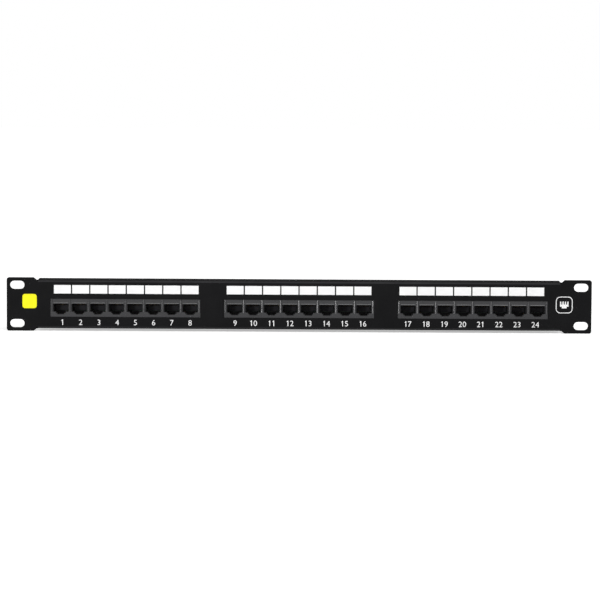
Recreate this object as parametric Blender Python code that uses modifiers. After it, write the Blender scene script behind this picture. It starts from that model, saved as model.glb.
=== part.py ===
"""A network patch panel for a 19-inch rack, one unit high.

A folded steel front carries three moulded blocks of eight modular jacks. Behind each block a
circuit board, held on spacers, carries the terminal blocks for the cables.

Metres, +Z up. X runs along the panel and +Y points to the rear. The origin is the centre of the
plane in which the backs of the ears meet the rack's rails.
"""

import math

import bmesh
import bpy
from mathutils import Euler, Matrix

# Rack interface
PANEL_WIDTH = 0.4826
PANEL_HEIGHT = 0.0442
SLOT_EDGE = 0.00875  # from a slot's centre to the end of the panel
SLOT_SPACING_Z = 0.03175
SLOT_LENGTH = 0.0119
SLOT_HEIGHT = 0.0068
CORNER_RADIUS = 0.0020

# Folded steel sheet
SHEET = 0.0015
BEND_INSIDE = 0.0007
BODY_INSET = 0.0020  # from an ear's edge in to the outside of the fold
FLANGE_DEPTH = 0.0200  # from the front face to the rear edge of a folded flange
EAR_LENGTH = 0.0223  # full height of the panel, from its end
SHOULDER_RUN = 0.0024  # slanting edge from the ear's height to the body's
SHOULDER_FLAT = 0.0012  # flat edge between the slant and the start of the fold
FOLD_LAP = 0.0010  # how far a folded edge runs into the flat sheet
CUT_ROOM = 0.0010  # how far a cut starts outside the surface

# Gap between pieces that rest on or sit in each other
FIT = 0.0003

# Jack openings, seen from the front, with the plug's latch below
GROUPS = 3
PORTS = 8
PORT_PITCH = 0.01524
PORT_TOP = 0.00056  # above the panel's centre line
PORT_WIDTH = 0.0118
PORT_HEIGHT = 0.00686
KEY_WIDTH = 0.0082
KEY_HEIGHT = 0.00115
LATCH_WIDTH = 0.0060
LATCH_HEIGHT = 0.0010
LEAD_IN = 0.0006  # widening of an opening's sides at the face
LEAD_IN_DEPTH = 0.0022
LEAD_IN_INSET = 0.0003  # left square at the top and bottom of the widening

# Moulded jack housing
FACE_RECESS = 0.0006  # face of the moulding behind the front of the steel
FACE_WALL = 0.0024  # moulding in front of the insert's channel
TOP_WALL = 0.0038
SILL = 0.0019
END_WALL = 0.0009  # beyond the outermost port's share of the pitch
HOUSING_REAR = 0.0157  # rear face of the moulding behind the ears' plane
REAR_WALL = 0.0012  # moulding behind the key and the latch
RIB_WIDTH = 0.0014
RIB_PROUD = 0.0005
RIB_ROOT = 0.0004  # how deep a rib stands in the face
RIB_INSET = 0.0002  # from a rib's top to the moulding's edge
STOP_RIM = 0.0015  # overhang behind the steel, beyond the window's edge
STOP_THICKNESS = 0.0016
STOP_LAP = 0.0004  # how far the rim runs into the moulding
PEG_DIAMETER = 0.0016
PEG_ROOT = 0.0010  # how deep a peg stands in the moulding's end wall

# Contact insert with its sprung wires
CHANNEL_WIDTH = 0.0112
CHANNEL_RISE = 0.00234  # above the top of the opening
CHANNEL_LAP = 0.0005  # how far the channel's cut runs down into the opening
INSERT_BLOCK = 0.0034  # thickness of the block that closes the jack's rear
SEAT_DEPTH = 0.0002  # of the block's seat in the opening's floor
WIRES = 8
WIRE_PITCH = 0.00102
WIRE_SIZE = 0.00046
WIRE_ROOT = 0.0007  # from the insert's nose to the wire's root
WIRE_ROOT_RISE = 0.0004  # of the root above the tongue's underside
WIRE_FREE_GAP = 0.0008  # from a wire's free end to the insert's block
WIRE_DROP = 0.0022  # of the free end below the top of the opening

# Circuit board
BOARD_THICKNESS = 0.0016
BOARD_CLEARANCE = 0.0012  # to the folded flanges
BOARD_GAP = 0.0017  # between two boards

# Terminal blocks for the cable's wires
PORTS_PER_BLOCK = 2
BLOCK_GAP = 0.0006
BASE_HEIGHT = 0.0036
BASE_MARGIN = 0.0004  # of the base around a row of towers
ROW_OFFSET = 0.0102  # centre of a row from the board's centre line
ROW_THICKNESS = 0.0090
ROW_LAP = 0.0012  # how far the towers run into the base
TERMINALS = 8  # slots in a row
TOWER_HEIGHT = 0.0108  # above the base
TOWER_TIP = 0.0020  # height of a tower's pointed end
LOW_TOWER_DROP = 0.0014  # every second tower is lower
TERMINAL_SLOT = 0.0009
TERMINAL_SLOT_DEPTH = 0.0092  # below the top of a tall tower

# Hexagonal spacers and screws
SPACER_ACROSS_FLATS = 0.0055
SPACER_GAP = 0.0004  # from the housing's rim to a spacer
SCREW_EDGE = 0.0036  # from a screw's centre to the end of the board
SCREW_DIAMETER = 0.0026
SCREW_LENGTH = 0.0075  # below the head
SCREW_TIP = 0.0006
SCREW_END_ROOM = 0.0010
HEAD_DIAMETER = 0.0056
HEAD_HEIGHT = 0.0020
HEAD_RIM = 0.0008  # straight side of the head, below its dome

# Facets of round forms
CORNER_STEPS = 4
SLOT_STEPS = 8
BEND_STEPS = 5
RIB_STEPS = 4
ROUND_SIDES = 10
DOME_STEPS = 2
SPACER_SIDES = 6
SMOOTH_ANGLE = math.radians(35)
WELD = 0.000002

# Places that follow from the sizes above
SLOT_X = PANEL_WIDTH / 2 - SLOT_EDGE
BODY_HEIGHT = PANEL_HEIGHT - 2 * BODY_INSET
BEND_OUTSIDE = SHEET + BEND_INSIDE
FOLD_END = PANEL_WIDTH / 2 - EAR_LENGTH - SHOULDER_RUN - SHOULDER_FLAT
FRONT = -SHEET
FACE = FRONT + FACE_RECESS
CHANNEL_START = FACE + FACE_WALL
BOARD_FRONT = HOUSING_REAR + FIT
BOARD_REAR = BOARD_FRONT + BOARD_THICKNESS
STEP = PORT_TOP - PORT_HEIGHT
PORT_BOTTOM = STEP - KEY_HEIGHT - LATCH_HEIGHT
COLLAR_TOP = PORT_TOP + TOP_WALL
COLLAR_BOTTOM = PORT_BOTTOM - SILL
COLLAR_MIDDLE = (COLLAR_TOP + COLLAR_BOTTOM) / 2
COLLAR_HALF = PORTS * PORT_PITCH / 2 + END_WALL
SPACER_RADIUS = SPACER_ACROSS_FLATS / 2 / math.cos(math.pi / SPACER_SIDES)
SCREW_X = COLLAR_HALF + FIT + STOP_RIM + SPACER_GAP + SPACER_RADIUS
BOARD_WIDTH = 2 * (SCREW_X + SCREW_EDGE)
BOARD_HEIGHT = BODY_HEIGHT - 2 * (SHEET + BOARD_CLEARANCE)
GROUP_PITCH = BOARD_WIDTH + BOARD_GAP
PEG_X = COLLAR_HALF - (END_WALL + (PORT_PITCH - PORT_WIDTH) / 2) / 2
BLOCK_PITCH = PORTS_PER_BLOCK * PORT_PITCH
BLOCK_WIDTH = BLOCK_PITCH - BLOCK_GAP
GROUP_NAMES = ("left", "centre", "right")

# Turns that stand a flat outline up: its own depth then lies along the named axis
TURNS = {"X": (math.pi / 2, 0, math.pi / 2), "Y": (math.pi / 2, 0, 0), "Z": (0, 0, 0)}


def arc(centre, radius, start, end, steps):
    """Points along an arc, with its angles in degrees."""
    angles = [math.radians(start + (end - start) * i / steps) for i in range(steps + 1)]
    return [(centre[0] + radius * math.cos(a), centre[1] + radius * math.sin(a)) for a in angles]


def rectangle(low, high):
    return [low, (high[0], low[1]), high, (low[0], high[1])]


def mirrored(points):
    """The outline's points, followed by their mirror images in the reverse order."""
    return points + [(-u, v) for u, v in reversed(points)]


def port_x(index):
    return (index - (PORTS - 1) / 2) * PORT_PITCH


def group_x(index):
    return (index - (GROUPS - 1) / 2) * GROUP_PITCH


def make_collection(name, hidden):
    collection = bpy.data.collections.new(name)
    collection.hide_render = hidden
    bpy.context.scene.collection.children.link(collection)
    return collection


def make_material(name, colour, roughness, metallic=0.0):
    material = bpy.data.materials.new(name)
    material.use_nodes = True
    shader = material.node_tree.nodes["Principled BSDF"]
    shader.inputs["Base Color"].default_value = (*colour, 1.0)
    shader.inputs["Roughness"].default_value = roughness
    shader.inputs["Metallic"].default_value = metallic
    return material


def helper(name, data):
    """An object that shapes a piece and isn't one itself."""
    made = bpy.data.objects.new(name, data)
    made.hide_render = True
    made.display_type = "WIRE"
    cutters.objects.link(made)
    return made


def finished(made):
    """The object's mesh with its modifiers and its place applied, welded, with its faces outwards."""
    bpy.context.view_layer.update()
    graph = bpy.context.evaluated_depsgraph_get()
    mesh = bpy.data.meshes.new_from_object(made.evaluated_get(graph))
    mesh.transform(made.matrix_world)
    shape = bmesh.new()
    shape.from_mesh(mesh)
    bmesh.ops.remove_doubles(shape, verts=shape.verts, dist=WELD)
    bmesh.ops.recalc_face_normals(shape, faces=shape.faces)
    shape.to_mesh(mesh)
    shape.free()
    tools = [modifier.object for modifier in made.modifiers if modifier.type == "BOOLEAN"]
    for used in [made, *tools]:
        bpy.data.objects.remove(used, do_unlink=True)
    return mesh


def prism(name, outlines, axis, low, high):
    """One mesh of flat outlines, each carried along an axis from low to high."""
    shape = bmesh.new()
    for points in outlines:
        face = shape.faces.new([shape.verts.new((u, v, (low - high) / 2)) for u, v in points])
        grown = bmesh.ops.extrude_face_region(shape, geom=[face])["geom"]
        moved = [item for item in grown if isinstance(item, bmesh.types.BMVert)]
        bmesh.ops.translate(shape, verts=moved, vec=(0, 0, high - low))
    bmesh.ops.recalc_face_normals(shape, faces=shape.faces)
    mesh = bpy.data.meshes.new(name)
    shape.to_mesh(mesh)
    shape.free()
    middle = [(low + high) / 2 if letter == axis else 0 for letter in "XYZ"]
    mesh.transform(Matrix.Translation(middle) @ Euler(TURNS[axis]).to_matrix().to_4x4())
    return helper(name, mesh)


def boxes(name, corners):
    """One mesh of separate boxes, each given by its lowest and highest corner."""
    shape = bmesh.new()
    for low, high in corners:
        middle = [(a + b) / 2 for a, b in zip(low, high)]
        sides = [b - a for a, b in zip(low, high)]
        place = Matrix.Translation(middle) @ Matrix.Diagonal((*sides, 1))
        bmesh.ops.create_cube(shape, size=1, matrix=place)
    mesh = bpy.data.meshes.new(name)
    shape.to_mesh(mesh)
    shape.free()
    return helper(name, mesh)


def rods(name, places, radius, low, high, sides=ROUND_SIDES):
    """One mesh of separate rods along Y, from low to high, at the given X and Z."""
    shape = bmesh.new()
    for x, z in places:
        place = Matrix.Translation((x, (low + high) / 2, z)) @ Matrix.Rotation(-math.pi / 2, 4, "X")
        bmesh.ops.create_cone(
            shape,
            cap_ends=True,
            segments=sides,
            radius1=radius,
            radius2=radius,
            depth=high - low,
            matrix=place,
        )
    mesh = bpy.data.meshes.new(name)
    shape.to_mesh(mesh)
    shape.free()
    return helper(name, mesh)


def combine(target, other, operation):
    modifier = target.modifiers.new(other.name, "BOOLEAN")
    modifier.operation = operation
    modifier.solver = "EXACT"
    modifier.object = other


def place_piece(name, mesh, material, parent, location=(0, 0, 0), smooth=False):
    if not mesh.materials:
        mesh.materials.append(material)
    if smooth:
        mesh.shade_smooth()
        mesh.set_sharp_from_angle(angle=SMOOTH_ANGLE)
    piece = bpy.data.objects.new(name, mesh)
    piece.location = location
    piece.parent = parent
    parts.objects.link(piece)
    return piece


def panel_outline():
    """Edge of the flat sheet: ears with rounded corners, and between them the line of the folds."""
    half = PANEL_WIDTH / 2
    top = PANEL_HEIGHT / 2
    corner = (half - CORNER_RADIUS, top - CORNER_RADIUS)
    upper = arc(corner, CORNER_RADIUS, 0, 90, CORNER_STEPS)
    upper += [
        (half - EAR_LENGTH, top),
        (half - EAR_LENGTH - SHOULDER_RUN, BODY_HEIGHT / 2),
        (FOLD_END, BODY_HEIGHT / 2),
        (FOLD_END, BODY_HEIGHT / 2 - BEND_OUTSIDE),
    ]
    upper = mirrored(upper)
    return upper + [(-x, -z) for x, z in upper]


def rack_slot(x, z):
    radius = SLOT_HEIGHT / 2
    reach = SLOT_LENGTH / 2 - radius
    right = arc((x + reach, z), radius, -90, 90, SLOT_STEPS)
    return right + arc((x - reach, z), radius, 90, 270, SLOT_STEPS)


def fold_profile(side):
    """Section of a folded edge: a strip of the flat sheet, the bend, and the flange."""
    bend = BODY_HEIGHT / 2 - BEND_OUTSIDE
    centre = (FRONT + BEND_OUTSIDE, bend)
    rear = FRONT + FLANGE_DEPTH
    section = [(FRONT, bend - FOLD_LAP)]
    section += arc(centre, BEND_OUTSIDE, 180, 90, BEND_STEPS)
    section += [(rear, BODY_HEIGHT / 2), (rear, BODY_HEIGHT / 2 - SHEET)]
    section += arc(centre, BEND_INSIDE, 90, 180, BEND_STEPS)
    section += [(0, bend - FOLD_LAP)]
    return [(y, side * z) for y, z in section]


def window(index):
    """Lowest and highest corner of the cut that takes one jack housing."""
    x = group_x(index)
    low = (x - COLLAR_HALF - FIT, FRONT - CUT_ROOM, COLLAR_BOTTOM - FIT)
    high = (x + COLLAR_HALF + FIT, CUT_ROOM, COLLAR_TOP + FIT)
    return low, high


def make_front_panel():
    sheet = prism("sheet", [panel_outline()], "Y", FRONT, 0)
    combine(sheet, boxes("windows", [window(i) for i in range(GROUPS)]), "DIFFERENCE")
    slots = [
        rack_slot(side * SLOT_X, level * SLOT_SPACING_Z / 2)
        for side in (-1, 1)
        for level in (-1, 1)
    ]
    combine(sheet, prism("rack_slots", slots, "Y", FRONT - CUT_ROOM, CUT_ROOM), "DIFFERENCE")
    for name, side in (("upper_fold", 1), ("lower_fold", -1)):
        fold = prism(name, [fold_profile(side)], "X", -FOLD_END - FIT, FOLD_END + FIT)
        combine(sheet, fold, "UNION")
    return finished(sheet)


def port_outline(x):
    """The stepped opening of one jack: plug, key and latch."""
    half = [
        (PORT_WIDTH / 2, PORT_TOP),
        (PORT_WIDTH / 2, STEP),
        (KEY_WIDTH / 2, STEP),
        (KEY_WIDTH / 2, STEP - KEY_HEIGHT),
        (LATCH_WIDTH / 2, STEP - KEY_HEIGHT),
        (LATCH_WIDTH / 2, PORT_BOTTOM),
    ]
    return [(x + u, z) for u, z in mirrored(half)]


def lead_in_outline(x):
    """Widening of a jack's sides towards the face, seen from above."""
    face_half = PORT_WIDTH / 2 + LEAD_IN
    slope = LEAD_IN / LEAD_IN_DEPTH
    front = FACE - RIB_PROUD
    half = [(face_half + slope * RIB_PROUD, front), (PORT_WIDTH / 2, FACE + LEAD_IN_DEPTH)]
    return [(x + u, y) for u, y in mirrored(half)]


def rib_outline(x):
    """Section of a rib on the face: a half ellipse on a root."""
    round_front = arc((0, 0), 1, 180, 360, RIB_STEPS)
    front = [(x + u * RIB_WIDTH / 2, FACE + v * RIB_PROUD) for u, v in round_front]
    root = FACE + RIB_ROOT
    return front + [(x + RIB_WIDTH / 2, root), (x - RIB_WIDTH / 2, root)]


def make_jack_housing():
    ports = [port_x(i) for i in range(PORTS)]
    low = (-COLLAR_HALF, COLLAR_BOTTOM)
    high = (COLLAR_HALF, COLLAR_TOP)
    body = prism("moulding", [rectangle(low, high)], "Y", FACE, HOUSING_REAR)

    wall = HOUSING_REAR - REAR_WALL
    openings = prism("openings", [port_outline(x) for x in ports], "Y", FACE - CUT_ROOM, wall)
    combine(body, openings, "DIFFERENCE")
    rear = HOUSING_REAR + CUT_ROOM
    seat = wall - CUT_ROOM
    section = [
        (CHANNEL_START, PORT_TOP - CHANNEL_LAP),
        (seat, PORT_TOP - CHANNEL_LAP),
        (seat, STEP - SEAT_DEPTH),
        (rear, STEP - SEAT_DEPTH),
        (rear, PORT_TOP + CHANNEL_RISE),
        (CHANNEL_START, PORT_TOP + CHANNEL_RISE),
    ]
    half = CHANNEL_WIDTH / 2
    channels = prism("channels", [section], "X", ports[0] - half, ports[0] + half)
    row = channels.modifiers.new("row", "ARRAY")
    row.count = PORTS
    row.use_relative_offset = False
    row.use_constant_offset = True
    row.constant_offset_displace = (PORT_PITCH, 0, 0)
    combine(body, channels, "DIFFERENCE")
    widened = [lead_in_outline(x) for x in ports]
    lead_ins = prism("lead_ins", widened, "Z", STEP + LEAD_IN_INSET, PORT_TOP - LEAD_IN_INSET)
    combine(body, lead_ins, "DIFFERENCE")

    rim = FIT + STOP_RIM
    outer = rectangle((low[0] - rim, low[1] - rim), (high[0] + rim, high[1] + rim))
    inner = rectangle((low[0] + STOP_LAP, low[1] + STOP_LAP), (high[0] - STOP_LAP, high[1] - STOP_LAP))
    stop_rear = FIT + STOP_THICKNESS
    ring = prism("stop_rim", [outer], "Y", FIT, stop_rear)
    hole = prism("stop_hole", [inner], "Y", FIT - CUT_ROOM, stop_rear + CUT_ROOM)
    combine(ring, hole, "DIFFERENCE")
    stop = helper("stop_rim", finished(ring))
    combine(body, stop, "UNION")

    outlines = [rib_outline(port_x(i) - PORT_PITCH / 2) for i in range(PORTS + 1)]
    ribs = prism("ribs", outlines, "Z", STEP, COLLAR_TOP - RIB_INSET)
    combine(body, ribs, "UNION")

    places = [(-PEG_X, COLLAR_MIDDLE), (PEG_X, COLLAR_MIDDLE)]
    pegs = rods("pegs", places, PEG_DIAMETER / 2, HOUSING_REAR - PEG_ROOT, BOARD_REAR - FIT)
    combine(body, pegs, "UNION")
    return finished(body)


def make_contact_insert():
    """Insert of one jack: a tongue above the opening, a block that closes its rear, and eight wires."""
    nose = CHANNEL_START + FIT
    under = PORT_TOP + FIT
    top = PORT_TOP + CHANNEL_RISE - FIT
    block_front = HOUSING_REAR - INSERT_BLOCK
    section = [
        (nose, under),
        (block_front, under),
        (block_front, STEP + FIT),
        (HOUSING_REAR, STEP + FIT),
        (HOUSING_REAR, top),
        (nose, top),
    ]
    half = CHANNEL_WIDTH / 2 - FIT
    insert = prism("insert", [section], "X", -half, half)

    curve = bpy.data.curves.new("contact_wires", "CURVE")
    curve.dimensions = "3D"
    curve.bevel_depth = WIRE_SIZE / 2
    curve.bevel_resolution = 0
    curve.use_fill_caps = True
    for index in range(WIRES):
        x = (index - (WIRES - 1) / 2) * WIRE_PITCH
        spline = curve.splines.new("POLY")
        spline.points.add(1)
        spline.points[0].co = (x, nose + WIRE_ROOT, under + WIRE_ROOT_RISE, 1)
        spline.points[1].co = (x, block_front - WIRE_FREE_GAP, PORT_TOP - WIRE_DROP, 1)
    wires = helper("contact_wires", finished(helper("contact_wires", curve)))
    combine(insert, wires, "UNION")
    return finished(insert)


def make_circuit_board():
    half = (BOARD_WIDTH / 2, BOARD_HEIGHT / 2)
    board = prism("board", [rectangle((-half[0], -half[1]), half)], "Y", BOARD_FRONT, BOARD_REAR)
    rear = BOARD_REAR + CUT_ROOM
    front = BOARD_FRONT - CUT_ROOM
    peg_places = [(-PEG_X, COLLAR_MIDDLE), (PEG_X, COLLAR_MIDDLE)]
    combine(board, rods("peg_holes", peg_places, PEG_DIAMETER / 2 + FIT, front, rear), "DIFFERENCE")
    screw_places = [(-SCREW_X, 0), (SCREW_X, 0)]
    combine(board, rods("screw_holes", screw_places, SCREW_DIAMETER / 2 + FIT, front, rear), "DIFFERENCE")
    return finished(board)


def tower_outline():
    """A row of towers from the side: tall and low ones in turn, with a slot for a wire between each two."""
    pitch = BLOCK_WIDTH / TERMINALS
    base_top = BOARD_REAR + FIT + BASE_HEIGHT
    tall = base_top + TOWER_HEIGHT
    slot_end = tall - TERMINAL_SLOT_DEPTH
    side = BLOCK_WIDTH / 2 - BASE_MARGIN
    points = [(-side, base_top - ROW_LAP)]
    for index in range(TERMINALS + 1):
        middle = (index - TERMINALS / 2) * pitch
        left = max(middle - pitch / 2 + TERMINAL_SLOT / 2, -side)
        right = min(middle + pitch / 2 - TERMINAL_SLOT / 2, side)
        tip = tall - LOW_TOWER_DROP * (index % 2)
        if index > 0:
            points.append((left, slot_end))
        points += [(left, tip - TOWER_TIP), ((left + right) / 2, tip), (right, tip - TOWER_TIP)]
        if index < TERMINALS:
            points.append((right, slot_end))
    return points + [(side, base_top - ROW_LAP)]


def make_terminal_block():
    """Two rows of towers on one base."""
    base_front = BOARD_REAR + FIT
    half = (BLOCK_WIDTH / 2, ROW_OFFSET + ROW_THICKNESS / 2 + BASE_MARGIN)
    outline = rectangle((-half[0], -half[1]), half)
    block = prism("base", [outline], "Y", base_front, base_front + BASE_HEIGHT)
    for name, z in (("upper_row", ROW_OFFSET), ("lower_row", -ROW_OFFSET)):
        low = z - ROW_THICKNESS / 2
        row = prism(name, [tower_outline()], "Z", low, low + ROW_THICKNESS)
        combine(block, row, "UNION")
    return finished(block)


def make_spacer():
    rear = BOARD_FRONT - FIT
    spacer = rods("spacer", [(0, 0)], SPACER_RADIUS, FIT, rear, SPACER_SIDES)
    bore_end = BOARD_REAR + FIT - SCREW_LENGTH - SCREW_END_ROOM
    bore = rods("spacer_bore", [(0, 0)], SCREW_DIAMETER / 2 + FIT, bore_end, rear + CUT_ROOM)
    combine(spacer, bore, "DIFFERENCE")
    return finished(spacer)


def make_board_screw():
    """A turned shape: domed head and plain shank, with its head to the rear."""
    dome = arc((0, 0), 1, 90, 0, DOME_STEPS)
    rise = HEAD_HEIGHT - HEAD_RIM
    profile = [(HEAD_DIAMETER / 2 * u, HEAD_RIM + rise * v) for u, v in dome]
    profile += [
        (HEAD_DIAMETER / 2, 0),
        (SCREW_DIAMETER / 2, 0),
        (SCREW_DIAMETER / 2, SCREW_TIP - SCREW_LENGTH),
        (SCREW_DIAMETER / 2 - SCREW_TIP, -SCREW_LENGTH),
        (0, -SCREW_LENGTH),
    ]
    mesh = bpy.data.meshes.new("screw_profile")
    edges = [(i, i + 1) for i in range(len(profile) - 1)]
    mesh.from_pydata([(r, 0, height) for r, height in profile], edges, [])
    screw = helper("screw_profile", mesh)
    turned = screw.modifiers.new("turned", "SCREW")
    turned.steps = ROUND_SIDES
    turned.render_steps = ROUND_SIDES
    turned.use_merge_vertices = True
    turned.merge_threshold = WELD
    screw.rotation_euler = (-math.pi / 2, 0, 0)
    screw.location = (0, BOARD_REAR + FIT, 0)
    return finished(screw)


for old in list(bpy.data.objects):
    bpy.data.objects.remove(old, do_unlink=True)
parts = make_collection("rack_patch_panel", hidden=False)
cutters = make_collection("shaping_tools", hidden=True)

black_steel = make_material("powder_coated_steel", (0.014, 0.014, 0.015), 0.45)
jack_plastic = make_material("jack_plastic", (0.020, 0.020, 0.021), 0.28)
insert_plastic = make_material("insert_plastic", (0.016, 0.016, 0.017), 0.45)
board_laminate = make_material("board_laminate", (0.020, 0.110, 0.045), 0.35)
terminal_plastic = make_material("terminal_plastic", (0.024, 0.024, 0.026), 0.40)
bright_zinc = make_material("bright_zinc", (0.62, 0.63, 0.64), 0.28, 1.0)

housing_mesh = make_jack_housing()
insert_mesh = make_contact_insert()
board_mesh = make_circuit_board()
block_mesh = make_terminal_block()
spacer_mesh = make_spacer()
screw_mesh = make_board_screw()

panel_origin = bpy.data.objects.new("panel_origin", None)
parts.objects.link(panel_origin)
place_piece("front_panel", make_front_panel(), black_steel, panel_origin, smooth=True)

for group in range(GROUPS):
    module = bpy.data.objects.new("module_" + GROUP_NAMES[group], None)
    module.location = (group_x(group), 0, 0)
    module.parent = panel_origin
    parts.objects.link(module)
    place_piece("jack_housing_" + GROUP_NAMES[group], housing_mesh, jack_plastic, module)
    place_piece("circuit_board_" + GROUP_NAMES[group], board_mesh, board_laminate, module)
    for port in range(PORTS):
        number = group * PORTS + port + 1
        place = (port_x(port), 0, 0)
        place_piece(f"contact_insert_{number:02d}", insert_mesh, insert_plastic, module, place)
    blocks = PORTS // PORTS_PER_BLOCK
    for block in range(blocks):
        number = group * blocks + block + 1
        x = (block - (blocks - 1) / 2) * BLOCK_PITCH
        place_piece(f"terminal_block_{number:02d}", block_mesh, terminal_plastic, module, (x, 0, 0))
    for end, x in enumerate((-SCREW_X, SCREW_X)):
        number = group * 2 + end + 1
        place_piece(f"standoff_{number:02d}", spacer_mesh, bright_zinc, module, (x, 0, 0))
        place_piece(f"board_screw_{number:02d}", screw_mesh, bright_zinc, module, (x, 0, 0), smooth=True)
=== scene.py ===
import math

import bmesh
import bpy
import numpy as np
from mathutils import Matrix, Vector


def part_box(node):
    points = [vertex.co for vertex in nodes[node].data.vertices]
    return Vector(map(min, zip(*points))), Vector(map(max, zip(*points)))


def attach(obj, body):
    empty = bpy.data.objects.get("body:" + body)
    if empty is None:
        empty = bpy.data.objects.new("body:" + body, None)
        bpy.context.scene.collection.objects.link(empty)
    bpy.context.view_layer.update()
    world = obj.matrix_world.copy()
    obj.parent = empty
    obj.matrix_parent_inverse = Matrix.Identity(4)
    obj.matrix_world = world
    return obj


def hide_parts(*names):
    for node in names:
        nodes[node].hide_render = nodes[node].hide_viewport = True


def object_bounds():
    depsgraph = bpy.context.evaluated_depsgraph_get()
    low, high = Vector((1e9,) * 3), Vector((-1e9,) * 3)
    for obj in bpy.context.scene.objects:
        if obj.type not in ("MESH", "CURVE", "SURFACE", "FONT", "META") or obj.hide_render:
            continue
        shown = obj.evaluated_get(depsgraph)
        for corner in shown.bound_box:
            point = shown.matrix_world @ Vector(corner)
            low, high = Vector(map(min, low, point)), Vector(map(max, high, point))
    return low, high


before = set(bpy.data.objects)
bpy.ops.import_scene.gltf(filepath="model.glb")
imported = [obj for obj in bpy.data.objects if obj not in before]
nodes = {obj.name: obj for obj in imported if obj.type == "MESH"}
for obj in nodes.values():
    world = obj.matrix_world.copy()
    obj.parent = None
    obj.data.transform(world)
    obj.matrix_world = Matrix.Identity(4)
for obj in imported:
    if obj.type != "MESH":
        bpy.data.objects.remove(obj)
cadLow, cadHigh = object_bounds()
groupNames = ("left", "centre", "right")
portsPerGroup = 8


def boxCentre(node):
    low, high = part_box(node)
    return (low + high) / 2


def numbered(name, count):
    return [f"{name}_{number:02d}" for number in range(1, count + 1)]


def shareOf(names, group):
    # the names that belong to one of the three groups
    each = len(names) // len(groupNames)
    return names[group * each:(group + 1) * each]


def evenPlaces(count, pitch):
    # places in a row, with its middle at 0
    return (np.arange(count) - (count - 1) / 2) * pitch


def fullTurn(steps):
    # angles all the way round, without the last, which is the first again
    return np.arange(steps) / steps * 2 * math.pi


# places read from the frame, in metres
panelLow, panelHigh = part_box("front_panel")
panelWidth = panelHigh.x - panelLow.x
frontY = panelLow.y  # face of the steel
insertNodes = numbered("contact_insert", len(groupNames) * portsPerGroup)
blockNodes = numbered("terminal_block", 12)
screwNodes = numbered("board_screw", 6)
standoffNodes = numbered("standoff", 6)
boardNodes = ["circuit_board_" + name for name in groupNames]
housingNodes = ["jack_housing_" + name for name in groupNames]
print("frame read:", len(nodes), "nodes")


# camera: the panel nearly head on, a little from above, through a long lens
photoView = {
    "imageSide": 600,  # pixels
    "panelSpan": 584.9,  # length of the panel in the picture, pixels
    "panelCentre": (299.15, 305.5),  # pixel in which the panel's centre lies
    "distance": 2.6,
    "elevation": 5.0,  # degrees
    "roll": 0.31,  # degrees, with the right end lower
    "sensor": 36,  # width, millimetres
    "clip": (0.05, 50),
}


def placeCamera(spec):
    pixel = panelWidth / spec["panelSpan"]
    tilt = math.radians(spec["elevation"])
    back = Vector((0, -math.cos(tilt), math.sin(tilt)))
    level = (-back).to_track_quat("-Z", "Y").to_matrix()
    turn = level @ Matrix.Rotation(math.radians(spec["roll"]), 3, "Z")
    half = spec["imageSide"] / 2
    right, up = turn.col[0], turn.col[1]
    offset = right * (half - spec["panelCentre"][0]) + up * (spec["panelCentre"][1] - half)
    aim = Vector((0, frontY, 0)) + offset * pixel
    data = bpy.data.cameras.new("photoCamera")
    data.sensor_width = spec["sensor"]
    data.lens = spec["sensor"] * spec["distance"] / (spec["imageSide"] * pixel)
    data.clip_start, data.clip_end = spec["clip"]
    camera = bpy.data.objects.new("photoCamera", data)
    camera.matrix_world = Matrix.Translation(aim + back * spec["distance"]) @ turn.to_4x4()
    bpy.context.scene.collection.objects.link(camera)
    bpy.context.scene.camera = camera


placeCamera(photoView)
bpy.context.scene.view_settings.view_transform = "Standard"
print("camera placed")


# materials
noiseMiddle = (0.3, 0.7)  # most of a noise's values lie between these


def nodeTree(name):
    material = bpy.data.materials.new(name)
    material.use_nodes = True
    tree = material.node_tree
    return material, tree, tree.nodes["Principled BSDF"]


def link(tree, source, output, target, socket):
    tree.links.new(source.outputs[output], target.inputs[socket])


def mathNode(tree, operation):
    node = tree.nodes.new("ShaderNodeMath")
    node.operation = operation
    return node


def colourMix(tree, towards):
    # a mix whose far end is a fixed colour
    mix = tree.nodes.new("ShaderNodeMix")
    mix.data_type = "RGBA"
    mix.inputs["B"].default_value = (*towards, 1)
    return mix


def objectNoise(tree, size, detail=2.0, stretch=(1, 1, 1)):
    # noise on the object's own coordinates, with grains about as large as size
    coords = tree.nodes.new("ShaderNodeTexCoord")
    mapping = tree.nodes.new("ShaderNodeMapping")
    mapping.inputs["Scale"].default_value = stretch
    noise = tree.nodes.new("ShaderNodeTexNoise")
    noise.inputs["Scale"].default_value = 1 / size
    noise.inputs["Detail"].default_value = detail
    link(tree, coords, "Object", mapping, "Vector")
    link(tree, mapping, "Vector", noise, "Vector")
    return noise


def spread(tree, noise, low, high):
    # noise values near the middle are stretched to run from low to high
    ramp = tree.nodes.new("ShaderNodeMapRange")
    ramp.inputs["From Min"].default_value, ramp.inputs["From Max"].default_value = noiseMiddle
    ramp.inputs["To Min"].default_value = low
    ramp.inputs["To Max"].default_value = high
    link(tree, noise, "Fac", ramp, "Value")
    return ramp


def tint(tree, noise, dark, light):
    mix = colourMix(tree, light)
    mix.inputs["A"].default_value = (*dark, 1)
    link(tree, spread(tree, noise, 0, 1), "Result", mix, "Factor")
    return mix


def relief(tree, noise, shader, strength, depth):
    bump = tree.nodes.new("ShaderNodeBump")
    bump.inputs["Strength"].default_value = strength
    bump.inputs["Distance"].default_value = depth
    link(tree, noise, "Fac", bump, "Height")
    link(tree, bump, "Normal", shader, "Normal")


def setStops(ramp, stops):
    # grey levels along a ramp
    elements = ramp.color_ramp.elements
    for number, (place, level) in enumerate(stops):
        stop = elements[number] if number < len(elements) else elements.new(1)
        stop.position = place
        stop.color = (level, level, level, 1)


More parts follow.
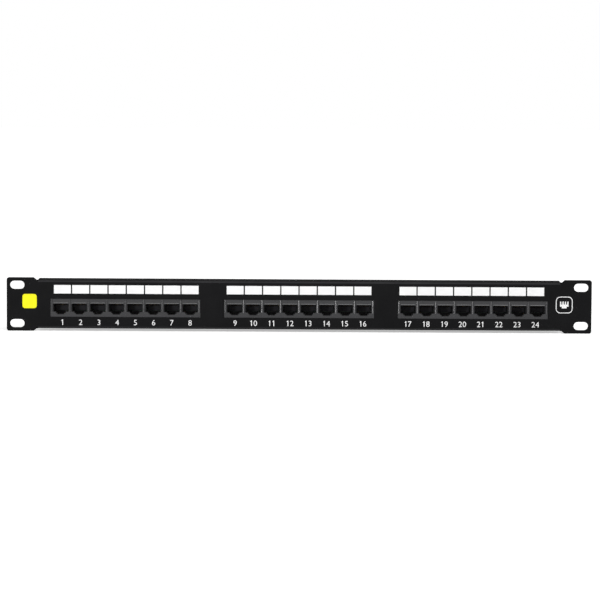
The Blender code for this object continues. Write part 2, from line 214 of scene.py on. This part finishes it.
def paintedEdgeHighlight(tree, colour, patches, spec):
    # painted highlight: a lighter colour where the surface turns from the face to its sides, going by its
    # normal's share along Y, standing in for light caught on the folds
    coords = tree.nodes.new("ShaderNodeTexCoord")
    axes = tree.nodes.new("ShaderNodeSeparateXYZ")
    facing = mathNode(tree, "ABSOLUTE")
    turning = tree.nodes.new("ShaderNodeValToRGB")
    setStops(turning, spec["turning"])
    amount = mathNode(tree, "MULTIPLY")
    link(tree, coords, "Normal", axes, "Vector")
    link(tree, axes, "Y", facing, 0)
    link(tree, facing, 0, turning, "Fac")
    link(tree, turning, "Color", amount, 0)
    link(tree, spread(tree, patches, *spec["patches"]), "Result", amount, 1)
    highlighted = colourMix(tree, spec["colour"])
    link(tree, amount, 0, highlighted, "Factor")
    tree.links.new(colour, highlighted.inputs["A"])
    return highlighted.outputs["Result"]


def mattAndShadedInside(tree, colour, polish, spec):
    # without polish behind the face, and darker there as painted shade in the recesses, going by depth
    # along Y
    coords = tree.nodes.new("ShaderNodeTexCoord")
    axes = tree.nodes.new("ShaderNodeSeparateXYZ")
    depth = tree.nodes.new("ShaderNodeMapRange")
    depth.inputs["From Min"].default_value, depth.inputs["From Max"].default_value = spec["depth"]
    link(tree, coords, "Object", axes, "Vector")
    link(tree, axes, "Y", depth, "Value")
    shadedColour = colourMix(tree, spec["colour"])
    rough = tree.nodes.new("ShaderNodeMix")
    rough.inputs["B"].default_value = spec["roughness"]
    for node, source in ((shadedColour, colour), (rough, polish)):
        link(tree, depth, "Result", node, "Factor")
        tree.links.new(source, node.inputs["A"])
    return shadedColour.outputs["Result"], rough.outputs["Result"]


def finishMaterial(name, spec):
    # colour clouds, uneven gloss and a fine relief, all from noise
    material, tree, shader = nodeTree(name)
    clouds = objectNoise(tree, spec["cloudSize"])
    grain = objectNoise(tree, spec["grainSize"], detail=3.0, stretch=spec.get("grainStretch", (1, 1, 1)))
    mix = tint(tree, clouds, spec["dark"], spec["light"])
    gloss = spread(tree, grain, *spec["roughness"])
    colour, polish = mix.outputs["Result"], gloss.outputs["Result"]
    # a painted highlight on the folds, then painted shade with a matt finish behind the face
    if "edgeHighlight" in spec:
        colour = paintedEdgeHighlight(tree, colour, clouds, spec["edgeHighlight"])
    if "inside" in spec:
        colour, polish = mattAndShadedInside(tree, colour, polish, spec["inside"])
    tree.links.new(colour, shader.inputs["Base Color"])
    tree.links.new(polish, shader.inputs["Roughness"])
    relief(tree, grain, shader, spec["relief"], spec["reliefDepth"])
    shader.inputs["Metallic"].default_value = spec.get("metallic", 0.0)
    shader.inputs["Specular IOR Level"].default_value = spec.get("specular", 0.5)
    return material


finishes = {
    "powderCoat": {
        "dark": (0.0085, 0.0085, 0.0090), "light": (0.0110, 0.0110, 0.0116), "cloudSize": 0.03,
        "grainSize": 0.0005, "roughness": (0.72, 0.84), "relief": 0.30, "reliefDepth": 0.00004,
        "specular": 0.03,
        # painted highlight on the bends and edges, as a lighter colour
        "edgeHighlight": {
            "turning": [(0.50, 0), (0.70, 1), (0.95, 1), (0.99, 0)],  # normal's share along Y, strength
            "patches": (0.7, 1.0), "colour": (0.032, 0.032, 0.034),
        },
        # painted shade: the flanges and backs darker than the face, with a matt finish
        "inside": {"depth": (0.0002, 0.0016), "colour": (0.0060, 0.0060, 0.0064), "roughness": 0.95},
    },
    "jackPlastic": {
        "dark": (0.0115, 0.0115, 0.0135), "light": (0.0150, 0.0150, 0.0174), "cloudSize": 0.02,
        "grainSize": 0.0003, "roughness": (0.20, 0.28), "relief": 0.08, "reliefDepth": 0.00002,
        "specular": 0.48,
        # painted shade: the mouths and insides of the openings a little darker, with a matt finish
        "inside": {"depth": (-0.0008, 0.0002), "colour": (0.0120, 0.0120, 0.0138), "roughness": 0.70},
    },
    "carrierPlastic": {
        "dark": (0.020, 0.020, 0.024), "light": (0.026, 0.026, 0.031), "cloudSize": 0.01,
        "grainSize": 0.0003, "roughness": (0.50, 0.62), "relief": 0.10, "reliefDepth": 0.00002,
        "specular": 0.12,
    },
    "terminalPlastic": {
        "dark": (0.018, 0.018, 0.020), "light": (0.026, 0.026, 0.028), "cloudSize": 0.015,
        "grainSize": 0.0004, "roughness": (0.36, 0.50), "relief": 0.15, "reliefDepth": 0.00003,
    },
    "boardLaminate": {
        "dark": (0.012, 0.085, 0.035), "light": (0.020, 0.120, 0.050), "cloudSize": 0.012,
        "grainSize": 0.0008, "roughness": (0.24, 0.36), "relief": 0.12, "reliefDepth": 0.00003,
    },
    "brightZinc": {
        "dark": (0.56, 0.58, 0.61), "light": (0.70, 0.69, 0.66), "cloudSize": 0.004,
        "grainSize": 0.0003, "roughness": (0.24, 0.40), "relief": 0.08, "reliefDepth": 0.00002,
        "metallic": 1.0,
    },
    "contactGold": {
        "dark": (0.80, 0.52, 0.18), "light": (0.94, 0.68, 0.30), "cloudSize": 0.004,
        "grainSize": 0.0002, "roughness": (0.18, 0.30), "relief": 0.05, "reliefDepth": 0.00001,
        "metallic": 1.0,
    },
    "clipTin": {
        "dark": (0.62, 0.62, 0.61), "light": (0.78, 0.77, 0.74), "cloudSize": 0.003,
        "grainSize": 0.0003, "grainStretch": (1, 0.1, 1), "roughness": (0.26, 0.42), "relief": 0.08,
        "reliefDepth": 0.00002, "metallic": 1.0,
    },
    "printWhite": {
        "dark": (0.86, 0.86, 0.86), "light": (0.91, 0.91, 0.91), "cloudSize": 0.01,
        "grainSize": 0.0003, "roughness": (0.50, 0.65), "relief": 0.05, "reliefDepth": 0.00001,
    },
    "printYellow": {
        "dark": (0.92, 0.85, 0.004), "light": (0.96, 0.89, 0.006), "cloudSize": 0.006,
        "grainSize": 0.0003, "roughness": (0.35, 0.50), "relief": 0.05, "reliefDepth": 0.00001,
        "specular": 0.2,
    },
}
materials = {name: finishMaterial(name, spec) for name, spec in finishes.items()}
print("materials made:", len(materials))


# rounded edges on the solids: welded, flat faces joined, then bevelled and shaded
def shadingGroup(limit):
    # faces smooth, with edges sharp where two faces meet at more than the limit
    group = bpy.data.node_groups.new("smoothByAngle", "GeometryNodeTree")
    group.interface.new_socket("Geometry", in_out="INPUT", socket_type="NodeSocketGeometry")
    group.interface.new_socket("Geometry", in_out="OUTPUT", socket_type="NodeSocketGeometry")
    start = group.nodes.new("NodeGroupInput")
    end = group.nodes.new("NodeGroupOutput")
    faces = group.nodes.new("GeometryNodeSetShadeSmooth")
    faces.domain = "FACE"
    edges = group.nodes.new("GeometryNodeSetShadeSmooth")
    edges.domain = "EDGE"
    edges.inputs["Shade Smooth"].default_value = False
    angle = group.nodes.new("GeometryNodeInputMeshEdgeAngle")
    sharp = group.nodes.new("FunctionNodeCompare")
    sharp.operation = "GREATER_THAN"
    sharp.inputs["B"].default_value = limit
    group.links.new(start.outputs[0], faces.inputs["Geometry"])
    group.links.new(faces.outputs["Geometry"], edges.inputs["Geometry"])
    group.links.new(angle.outputs["Unsigned Angle"], sharp.inputs["A"])
    group.links.new(sharp.outputs["Result"], edges.inputs["Selection"])
    group.links.new(edges.outputs["Geometry"], end.inputs[0])
    return group


edgeRounding = {"weld": 1e-6, "flat": math.radians(0.5), "shade": math.radians(23.5)}
smoothByAngle = shadingGroup(edgeRounding["shade"])


def roundEdges(piece, width, segments, sharp):
    weld = piece.modifiers.new("weld", "WELD")
    weld.merge_threshold = edgeRounding["weld"]
    flat = piece.modifiers.new("flatFaces", "DECIMATE")
    flat.decimate_type = "DISSOLVE"
    flat.angle_limit = edgeRounding["flat"]
    bevel = piece.modifiers.new("roundEdges", "BEVEL")
    bevel.width = width
    bevel.segments = segments
    bevel.limit_method = "ANGLE"
    bevel.angle_limit = math.radians(sharp)
    shade = piece.modifiers.new("shade", "NODES")
    shade.node_group = smoothByAngle
    piece.modifiers.new("evenNormals", "WEIGHTED_NORMAL").keep_sharp = True


# nodes, finish, width of the rounding, its steps, and the angle in degrees from which an edge is rounded
solidLooks = [
    (["front_panel"], "powderCoat", 0.00020, 2, 30),
    (housingNodes, "jackPlastic", 0.00032, 2, 65),
    (boardNodes, "boardLaminate", 0.00010, 1, 30),
    (blockNodes, "terminalPlastic", 0.00014, 2, 30),
    (standoffNodes, "brightZinc", 0.00020, 2, 30),
]
for names, finish, width, segments, sharp in solidLooks:
    for name in names:
        nodes[name].data.materials.clear()
        nodes[name].data.materials.append(materials[finish])
        roundEdges(nodes[name], width, segments, sharp)
print("solids dressed")


# surfaces from arrays
def sheetFaces(rows, columns, wrapRows=False, wrapColumns=False):
    # each quad joins a point of the grid with its next ones along and across
    index = np.arange(rows * columns).reshape(rows, columns)
    if wrapRows:
        index = np.vstack([index, index[:1]])
    if wrapColumns:
        index = np.hstack([index, index[:, :1]])
    corners = (index[:-1, :-1], index[:-1, 1:], index[1:, 1:], index[1:, :-1])
    return np.stack(corners, -1).reshape(-1, 4).tolist()


def loftFaces(rings, sides):
    # quads between neighbouring rings, and one face across each end
    last = (rings - 1) * sides
    ends = [list(range(sides)), list(range(last, last + sides))]
    return sheetFaces(rings, sides, wrapColumns=True) + ends


def repeated(points, faces, offsets):
    # the same shape once at each offset: points are shifted, and face numbers go on from copy to copy
    places = (points[None] + np.array(offsets, float)[:, None]).reshape(-1, 3)
    starts = range(0, len(places), len(points))
    numbers = [[corner + start for corner in face] for start in starts for face in faces]
    return places, numbers


def addPiece(name, points, faces, finish, slot, smooth=False):
    # a mesh with its doubled points merged and its faces turned outwards
    mesh = bpy.data.meshes.new(name)
    mesh.from_pydata(points.tolist(), [], faces)
    shape = bmesh.new()
    shape.from_mesh(mesh)
    bmesh.ops.remove_doubles(shape, verts=shape.verts, dist=edgeRounding["weld"])
    bmesh.ops.recalc_face_normals(shape, faces=shape.faces)
    shape.to_mesh(mesh)
    shape.free()
    if smooth:
        mesh.shade_smooth()
        mesh.set_sharp_from_angle(angle=edgeRounding["shade"])
    mesh.materials.append(materials[finish])
    piece = bpy.data.objects.new(name, mesh)
    bpy.context.scene.collection.objects.link(piece)
    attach(piece, "root")
    return piece


def slab(outline, axes, low, high):
    # a flat outline in two axes, carried along the third from low to high
    count = len(outline)
    rings = np.zeros((2, count, 3))
    rings[:, :, axes[0]] = outline[:, 0]
    rings[:, :, axes[1]] = outline[:, 1]
    rings[:, :, axes[2]] = np.array([low, high])[:, None]
    return rings.reshape(-1, 3), loftFaces(2, count)


def band(outer, inner, low, high):
    # the flat band between two outlines in X and Z: one loop at each of its four edges
    loops = np.zeros((4, len(outer), 3))
    loops[:, :, 0] = np.stack([outer[:, 0], outer[:, 0], inner[:, 0], inner[:, 0]])
    loops[:, :, 2] = np.stack([outer[:, 1], outer[:, 1], inner[:, 1], inner[:, 1]])
    loops[:, :, 1] = np.array([low, high, high, low])[:, None]
    return loops.reshape(-1, 3), sheetFaces(4, len(outer), wrapRows=True, wrapColumns=True)


def joined(shapes):
    # several shapes as one: points in a row, face numbers raised by the points before them
    starts = np.cumsum([0] + [len(points) for points, _ in shapes])
    places = np.concatenate([points for points, _ in shapes])
    numbers = []
    for start, (_, faces) in zip(starts, shapes):
        numbers += [[corner + start for corner in face] for face in faces]
    return places, numbers


def roundedBox(width, height, radius, steps=4):
    # four quarter circles, one round each corner
    quarter = np.linspace(0, math.pi / 2, steps + 1)
    angle = np.concatenate([quarter + turn * math.pi / 2 for turn in range(4)])
    middle = np.repeat(np.arange(4), steps + 1) * math.pi / 2 + math.pi / 4
    across = np.sign(np.cos(middle)) * (width / 2 - radius) + radius * np.cos(angle)
    up = np.sign(np.sin(middle)) * (height / 2 - radius) + radius * np.sin(angle)
    return np.stack([across, up], -1)


def circle(radius, steps):
    angle = fullTurn(steps)
    return radius * np.stack([np.cos(angle), np.sin(angle)], -1)


# label cells, port numbers and marks printed on the steel
printing = {
    "ink": 0.00006,  # thickness
    "sink": 0.00002,  # of the ink's back behind the face
    "middle": -0.00015,  # of all the print, to the left of the panel's middle
    "groupPitch": 0.14250,
    "cellPitch": 0.01505,
    "cellWidth": 0.01395,
    "cellHeight": 0.00698,
    "cellCentre": 0.01240,  # above the panel's middle
    "cellRadius": 0.00015,
    "digitHeight": 0.0045,
    "digitCentre": -0.01487,
    "digitWeight": -0.002,  # in letter heights, bolder than the plain letter above 0
    "digitSteps": 4,  # along each of a letter's curves
    "letterDepth": 0.01,  # before the ink's own thickness is set
    "digitAdvance": 0.0033,
    "oneRight": 0.0005,  # the digit 1, a stem with a flag: its right side from the digit's middle
    "oneWidth": 0.0013,
    "oneStem": 0.00066,
    "oneFlag": (0.0008, 0.0005, 0.0009),  # fall of its end, its thickness there and at the stem
}
inkRear = frontY + printing["sink"]
inkFront = frontY - printing["ink"]
cellOffsets = evenPlaces(portsPerGroup, printing["cellPitch"])
printX = printing["middle"] + evenPlaces(len(groupNames), printing["groupPitch"])


def inked(outline):
    # an outline in X and Z as a layer of ink on the steel
    return slab(outline, (0, 2, 1), inkRear, inkFront)


def printLabels(spec):
    cell = inked(roundedBox(spec["cellWidth"], spec["cellHeight"], spec["cellRadius"]))
    for name, middle in zip(groupNames, printX):
        offsets = [(middle + x, 0, spec["cellCentre"]) for x in cellOffsets]
        addPiece("labelCells_" + name, *repeated(*cell, offsets), "printWhite", "print_white")


def oneShape(spec):
    # stem at the right, flag falling from its top to the left
    top, right = spec["digitHeight"] / 2, spec["oneRight"]
    left, stem = right - spec["oneWidth"], right - spec["oneStem"]
    fall, thin, thick = spec["oneFlag"]
    outline = [(right, -top), (right, top), (stem, top), (left, top - fall)]
    outline += [(left, top - fall - thin), (stem, top - thick), (stem, -top)]
    return inked(np.array(outline))


def digitShape(letter, spec):
    # a flat letter made a mesh, scaled to the digits' height, stood upright and centred
    if letter == "1":
        return oneShape(spec)
    curve = bpy.data.curves.new("digit", "FONT")
    curve.body = letter
    curve.offset = spec["digitWeight"]
    curve.extrude = spec["letterDepth"]
    curve.resolution_u = spec["digitSteps"]
    holder = bpy.data.objects.new("digit", curve)
    bpy.context.scene.collection.objects.link(holder)
    graph = bpy.context.evaluated_depsgraph_get()
    mesh = bpy.data.meshes.new_from_object(holder.evaluated_get(graph))
    bpy.data.objects.remove(holder)
    flat = np.zeros(len(mesh.vertices) * 3)
    mesh.vertices.foreach_get("co", flat)
    flat = flat.reshape(-1, 3)
    faces = [list(face.vertices) for face in mesh.polygons]
    bpy.data.meshes.remove(mesh)
    middle = (flat.max(0) + flat.min(0)) / 2
    scale = spec["digitHeight"] / np.ptp(flat[:, 1])
    points = np.zeros_like(flat)
    points[:, [0, 2]] = (flat[:, :2] - middle[:2]) * scale
    points[:, 1] = np.where(flat[:, 2] > middle[2], inkFront, inkRear)
    return points, faces


def printNumbers(spec):
    shapes = {letter: digitShape(letter, spec) for letter in "0123456789"}
    for group, (name, middle) in enumerate(zip(groupNames, printX)):
        numbers = []
        for port, x in enumerate(cellOffsets):
            text = str(group * portsPerGroup + port + 1)
            for place, letter in enumerate(text):
                shift = (place - (len(text) - 1) / 2) * spec["digitAdvance"]
                points, faces = shapes[letter]
                numbers.append((points + [middle + x + shift, 0, spec["digitCentre"]], faces))
        addPiece("portNumbers_" + name, *joined(numbers), "printWhite", "print_white")


marks = {
    "tagCentre": (-0.2224, 0.0025), "tagSize": 0.0118, "tagRadius": 0.0022,
    "signCentre": (0.2187, 0.0016), "signSize": 0.0138, "signRadius": 0.0036, "signLine": 0.0006,
    "jackWidth": 0.0070, "jackHeight": 0.0042, "stepWidth": 0.0040, "stepHeight": 0.0014,
    "teeth": 3, "toothWidth": 0.0010, "toothDepth": 0.0024,
}


def printMarks(spec):
    # a blank yellow tag at the left, and a framed outline of a jack at the right
    tag = inked(roundedBox(spec["tagSize"], spec["tagSize"], spec["tagRadius"]))
    x, z = spec["tagCentre"]
    addPiece("blankTag", *repeated(*tag, [(x, 0, z)]), "printYellow", "print_yellow")

    size, line = spec["signSize"], spec["signLine"]
    outer = roundedBox(size, size, spec["signRadius"])
    inner = roundedBox(size - 2 * line, size - 2 * line, spec["signRadius"] - line)
    rim = band(outer, inner, inkRear, inkFront)
    wide, step = spec["jackWidth"] / 2, spec["stepWidth"] / 2
    top, floor = spec["jackHeight"] / 2, -spec["jackHeight"] / 2
    outline = [(-wide, top), (-wide, floor), (-step, floor), (-step, floor - spec["stepHeight"])]
    outline += [(step, floor - spec["stepHeight"]), (step, floor), (wide, floor), (wide, top)]
    tooth, low = spec["toothWidth"] / 2, top - spec["toothDepth"]
    for place in evenPlaces(spec["teeth"], 2 * spec["toothWidth"])[::-1]:
        right, left = place + tooth, place - tooth
        outline += [(right, top), (right, low), (left, low), (left, top)]
    jack = inked(np.array(outline) + [0, spec["stepHeight"] / 2])
    x, z = spec["signCentre"]
    addPiece("portSign", *repeated(*joined([rim, jack]), [(x, 0, z)]), "printWhite", "print_white")


printLabels(printing)
printNumbers(printing)
printMarks(marks)
print("front printed")


# a fine brow moulded above each jack's opening
brows = {
    "width": 0.0118,
    "rise": 0.01276,  # from the moulding's lower edge to the brow's
    "face": 0.0005,  # of the moulding, behind the fronts of its ribs
    "height": 0.00070, "ramp": 0.00045, "proud": 0.00025, "sink": 0.0002,
}


def placeBrows(spec):
    # a section in Y and Z, upright below and slanting back above, carried along X
    low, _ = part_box(housingNodes[0])
    face, bottom = low.y + spec["face"], low.z + spec["rise"]
    front, root, top = face - spec["proud"], face + spec["sink"], bottom + spec["height"]
    outline = [(root, bottom), (front, bottom), (front, top - spec["ramp"]), (face, top), (root, top)]
    brow = slab(np.array(outline), (1, 2, 0), -spec["width"] / 2, spec["width"] / 2)
    for group, name in enumerate(groupNames):
        offsets = [(boxCentre(node).x, 0, 0) for node in shareOf(insertNodes, group)]
        addPiece("jackBrows_" + name, *repeated(*brow, offsets), "jackPlastic", "jack_plastic")


placeBrows(brows)
print("brows moulded")


# contact carriers with their sprung wires, in place of the plain inserts
contacts = {
    "wires": 8, "wirePitch": 0.00102, "wireRadius": 0.00023,
    "tongue": 0.00174,  # thickness
    "block": 0.0034,  # depth of the block that closes the jack
    "noseRadius": 0.0004,
    "groove": (0.00066, 0.0005),  # width and depth of a wire's groove under the tongue
    "comb": (0.0010, 0.0018, 0.0030),  # slots for the wires' ends: depth, top and foot below the tongue
    "combStep": 0.00002,  # depth of the same slots between the wires, next to nothing
    "bend": (0.0011, 0.00055, 0.00028),  # centre behind the nose and above the tongue's underside, radius
    "bendSteps": 9, "runSteps": 4, "wireSides": 8,
    "rootRun": 0.0023,  # straight start inside the tongue
    "fall": math.radians(17.9),
    "freeGap": 0.0008,  # from a wire's end to the block
}


def carrierShape(spec, low, high):
    # a section in Y and Z, lofted along X: with a groove and a slot in line with a wire, plain elsewhere
    nose, rear, bottom, top = low.y, high.y, low.z, high.z
    under, front, radius = top - spec["tongue"], rear - spec["block"], spec["noseRadius"]
    width, groove = spec["groove"]
    depth, slotTop, slotLow = spec["comb"]

    def section(lift, cut):
        return np.array([
            (nose + radius, under + lift), (front, under + lift), (front, under - slotTop),
            (front + cut, under - slotTop), (front + cut, under - slotLow), (front, under - slotLow),
            (front, bottom), (rear, bottom), (rear, top), (nose + radius, top), (nose, top - radius),
            (nose, under + lift + radius / 2),
        ])

    plain, slotted = section(0, spec["combStep"]), section(groove, depth)
    wires = evenPlaces(spec["wires"], spec["wirePitch"])
    half = (high.x - low.x) / 2
    cuts = wires[:, None] + np.array([-1, -1, 1, 1]) * width / 2
    stations = np.concatenate([[-half], cuts.ravel(), [half]])
    kinds = np.concatenate([[0], np.tile([0, 1, 1, 0], spec["wires"]), [0]])
    sections = np.stack([plain, slotted])[kinds]
    points = np.zeros((len(stations), len(plain), 3))
    points[:, :, 0] = stations[:, None]
    points[:, :, 1:] = sections
    return points.reshape(-1, 3), loftFaces(len(stations), len(plain))


def wireShape(spec, low, high):
    # a circle carried along a path: out of the tongue, round the bend at its nose, then down to the rear
    along, rise, radius = spec["bend"]
    under = high.z - spec["tongue"]
    centre = np.array([low.y + along, under + rise])
    angle = np.linspace(math.pi / 2, 1.5 * math.pi - spec["fall"], spec["bendSteps"])
    bend = centre + radius * np.stack([np.cos(angle), np.sin(angle)], -1)
    root = bend[:1] + [spec["rootRun"], 0]
    run = high.y - spec["block"] - spec["freeGap"] - bend[-1, 0]
    away = np.linspace(0, run, spec["runSteps"])[1:, None] * np.array([1, -math.tan(spec["fall"])])
    path = np.concatenate([root, bend, bend[-1:] + away])
    ahead = np.gradient(path, axis=0)
    ahead /= np.linalg.norm(ahead, axis=1, keepdims=True)
    across = np.stack([-ahead[:, 1], ahead[:, 0]], -1)
    ring = circle(spec["wireRadius"], spec["wireSides"])
    points = np.zeros((len(path), len(ring), 3))
    points[:, :, 0] = ring[:, 0]
    points[:, :, 1:] = path[:, None] + ring[None, :, 1:] * across[:, None]
    return points.reshape(-1, 3), loftFaces(len(path), len(ring))


def placeContacts(spec):
    wireX = evenPlaces(spec["wires"], spec["wirePitch"])
    low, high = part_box(insertNodes[0])
    carrier, wire = carrierShape(spec, low, high), wireShape(spec, low, high)
    for group, name in enumerate(groupNames):
        names = shareOf(insertNodes, group)
        centres = [boxCentre(node).x for node in names]
        carriers = repeated(*carrier, [(x, 0, 0) for x in centres])
        piece = addPiece("contactCarriers_" + name, *carriers, "carrierPlastic", "insert_plastic")
        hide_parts(*names)
        wires = repeated(*wire, [(x + across, 0, 0) for x in centres for across in wireX])
        addPiece("contactWires_" + name, *wires, "contactGold", "contact_gold", smooth=True)


placeContacts(contacts)
print("contacts placed")


# forked clips in the slots of the terminal rows
clips = {
    "perRow": 8, "rowOffset": 0.0102, "width": 0.00084, "thickness": 0.0005,
    "seat": 0.0002,  # how deep the clip stands in the slot's floor
    "slotFloor": 0.0092, "length": 0.0050,  # from the top of a tall tower, and from the floor up
    "slit": 0.00024, "slitFloor": 0.0013, "mouth": 0.0005,
    "tip": (0.8, 0.55),  # outer and inner corner of a tine's tip, as shares of half the width
}


def clipShape(spec, floor):
    # seen along Z: a foot, two tines and a slit that widens at its mouth
    half, slit, mouth = spec["width"] / 2, spec["slit"] / 2, spec["mouth"]
    foot, tip, crotch = floor - spec["seat"], floor + spec["length"], floor + spec["slitFloor"]
    outer, inner = spec["tip"]
    right = [(half, foot), (half, tip - mouth / 2), (half * outer, tip), (half * inner, tip)]
    right += [(slit, tip - mouth), (slit, crotch)]
    left = [(-x, y) for x, y in reversed(right)]
    return slab(np.array(right + left), (0, 1, 2), -spec["thickness"] / 2, spec["thickness"] / 2)


def placeClips(spec):
    low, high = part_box(blockNodes[0])
    shape = clipShape(spec, high.y - spec["slotFloor"])
    across = evenPlaces(spec["perRow"], (high.x - low.x) / spec["perRow"])
    levels = (spec["rowOffset"], -spec["rowOffset"])
    for group, name in enumerate(groupNames):
        centres = [boxCentre(node).x for node in shareOf(blockNodes, group)]
        offsets = [(x + place, 0, level) for x in centres for level in levels for place in across]
        addPiece("terminalClips_" + name, *repeated(*shape, offsets), "clipTin", "clip_tin")


placeClips(clips)
print("clips placed")


# cross-head screws in place of the plain ones, and tinned rings under their heads
screws = {
    "rim": 0.0008, "shank": 0.0013, "tip": 0.0006, "length": 0.0075, "edge": 0.00025,
    "crossWidth": 0.0009, "crossReach": 0.0017, "crossDepth": 0.0011, "crossSoft": 0.00025,
    "sides": 64, "domeSteps": 15,
    "domeStart": 0.02,  # radius of the dome's first ring, as a share of the head's
    "ring": (0.0017, 0.0039, 0.00005),  # inner and outer radius, thickness
    "ringSink": 0.00001, "ringSteps": 40,
}


def screwShape(spec, low, high):
    # a turned profile of a quarter ellipse, the rim and the shank, with a cross pressed into the dome
    radius = (high.x - low.x) / 2
    seat = low.y + spec["length"]
    rise = high.y - seat - spec["rim"]
    part = np.linspace(spec["domeStart"], 1, spec["domeSteps"])
    dome = np.stack([radius * part, spec["rim"] + rise * np.sqrt(np.clip(1 - part ** 2, 0, 1))], -1)
    edge, shank, tip = spec["edge"], spec["shank"], spec["tip"]
    below = [(radius, edge), (radius - edge, 0), (shank, 0), (shank, tip - spec["length"])]
    below += [(shank - tip, -spec["length"])]
    profile = np.concatenate([dome, np.array(below)])
    turn = fullTurn(spec["sides"])
    across = profile[:, :1] * np.cos(turn)
    up = profile[:, :1] * np.sin(turn)
    thin = np.minimum(abs(across), abs(up))
    far = np.maximum(abs(across), abs(up))
    soft = spec["crossSoft"]
    inside = np.clip((spec["crossWidth"] / 2 - thin) / soft + 0.5, 0, 1)
    inside = inside * np.clip((spec["crossReach"] - far) / soft + 0.5, 0, 1)
    inside[len(dome):] = 0
    height = seat + profile[:, 1:] - spec["crossDepth"] * inside
    points = np.stack([across, height, up], -1)
    return points.reshape(-1, 3), loftFaces(len(profile), spec["sides"])


def placeScrews(spec):
    low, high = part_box(screwNodes[0])
    places = [(boxCentre(node).x, 0, boxCentre(node).z) for node in screwNodes]
    turned = repeated(*screwShape(spec, low, high), places)
    piece = addPiece("boardScrews", *turned, "brightZinc", "bright_zinc", smooth=True)
    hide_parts(*screwNodes)
    inner, outer, thickness = spec["ring"]
    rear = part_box(boardNodes[0])[1].y
    rims = [circle(radius, spec["ringSteps"]) for radius in (outer, inner)]
    ring = band(*rims, rear - spec["ringSink"], rear + thickness)
    addPiece("screwPads", *repeated(*ring, places), "clipTin", "clip_tin")


placeScrews(screws)
print("screws placed")


# floor, background and lamps
def seenDirectly(tree):
    # 1 for rays from the camera, from a gloss or through glass
    path = tree.nodes.new("ShaderNodeLightPath")
    first, second = mathNode(tree, "MAXIMUM"), mathNode(tree, "MAXIMUM")
    link(tree, path, "Is Camera Ray", first, 0)
    link(tree, path, "Is Glossy Ray", first, 1)
    link(tree, first, 0, second, 0)
    link(tree, path, "Is Transmission Ray", second, 1)
    return second


def makeFloor(spec):
    # white to the eye with the panel's shadow on it: its glow lights nothing and grows with distance,
    # which counts less along the panel than across it; the weaker glow near the panel paints a darker
    # band of shade along its foot, and the stronger glow farther out lightens the lamps' shadows there
    material, tree, shader = nodeTree("paleFloor")
    tree.nodes.remove(shader)
    surface = tree.nodes.new("ShaderNodeBsdfDiffuse")
    pale = spec["floorPaleness"]
    surface.inputs["Color"].default_value = (pale, pale, pale, 1)
    coords = tree.nodes.new("ShaderNodeTexCoord")
    mapping = tree.nodes.new("ShaderNodeMapping")
    shares = (spec["glowAlong"], 1, 0)
    mapping.inputs["Scale"].default_value = [share / spec["glowReach"] for share in shares]
    distance = tree.nodes.new("ShaderNodeVectorMath")
    distance.operation = "LENGTH"
    lift = tree.nodes.new("ShaderNodeValToRGB")
    setStops(lift, [(place / spec["glowReach"], level) for place, level in spec["glow"]])
    strength = mathNode(tree, "MULTIPLY")
    glow = tree.nodes.new("ShaderNodeEmission")
    total = tree.nodes.new("ShaderNodeAddShader")
    link(tree, coords, "Object", mapping, "Vector")
    link(tree, mapping, "Vector", distance, 0)
    link(tree, distance, "Value", lift, "Fac")
    link(tree, seenDirectly(tree), 0, strength, 0)
    link(tree, lift, "Color", strength, 1)
    link(tree, strength, 0, glow, "Strength")
    link(tree, surface, "BSDF", total, 0)
    link(tree, glow, "Emission", total, 1)
    link(tree, total, "Shader", tree.nodes["Material Output"], "Surface")
    corners = np.array([(-1, -1, 0), (1, -1, 0), (1, 1, 0), (-1, 1, 0)]) * spec["floorSize"] / 2
    corners[:, 2] = cadLow.z
    mesh = bpy.data.meshes.new("floor")
    mesh.from_pydata(corners.tolist(), [], [(0, 1, 2, 3)])
    mesh.materials.append(material)
    floor = bpy.data.objects.new("floor", mesh)
    bpy.context.scene.collection.objects.link(floor)


def makeWorld(level):
    world = bpy.data.worlds.new("studio")
    world.use_nodes = True
    bpy.context.scene.world = world
    tree = world.node_tree
    light = tree.nodes["Background"]
    light.inputs["Color"].default_value = (1, 1, 1, 1)
    light.inputs["Strength"].default_value = level
    backdrop = tree.nodes.new("ShaderNodeBackground")
    backdrop.inputs["Color"].default_value = (1, 1, 1, 1)
    backdrop.inputs["Strength"].default_value = 1.0
    mix = tree.nodes.new("ShaderNodeMixShader")
    link(tree, seenDirectly(tree), 0, mix, "Fac")
    link(tree, light, "Background", mix, 1)
    link(tree, backdrop, "Background", mix, 2)
    link(tree, mix, "Shader", tree.nodes["World Output"], "Surface")


def softLamp(name, place, aim, width, height, power):
    data = bpy.data.lights.new(name, "AREA")
    data.shape = "RECTANGLE"
    data.size, data.size_y = width, height
    data.energy = power
    lamp = bpy.data.objects.new(name, data)
    lamp.location = place
    lamp.rotation_euler = (Vector(aim) - Vector(place)).to_track_quat("-Z", "Y").to_euler()
    bpy.context.scene.collection.objects.link(lamp)


studio = {
    "floorSize": 10.0, "floorPaleness": 0.85, "worldLevel": 0.40,
    # the glow is weakest next to the panel: painted shade along its foot
    "glow": [(0.035, 0.45), (0.055, 0.52), (0.35, 0.52), (1.60, 0.95)],  # distance, strength
    "glowReach": 2.0, "glowAlong": 0.2,
    # name, place, what it points at, width, height, watts
    "lamps": [
        ("keyLamp", (0.1, -1.1, 1.5), (0, 0, 0), 2.2, 0.6, 16.1),
        ("fillLamp", (0.9, -1.2, 1.5), (0.05, 0, 0), 0.6, 0.6, 7.2),
        ("lowLamp", (-0.72, -1.2, -0.01), (0, 0, 0), 0.12, 0.015, 5.0),
        ("rearLamp", (0, 1.3, 0), (0, 0, 0), 1.2, 0.03, 7),
    ],
}
makeFloor(studio)
makeWorld(studio["worldLevel"])
for lamp in studio["lamps"]:
    softLamp(*lamp)
print("studio lit")
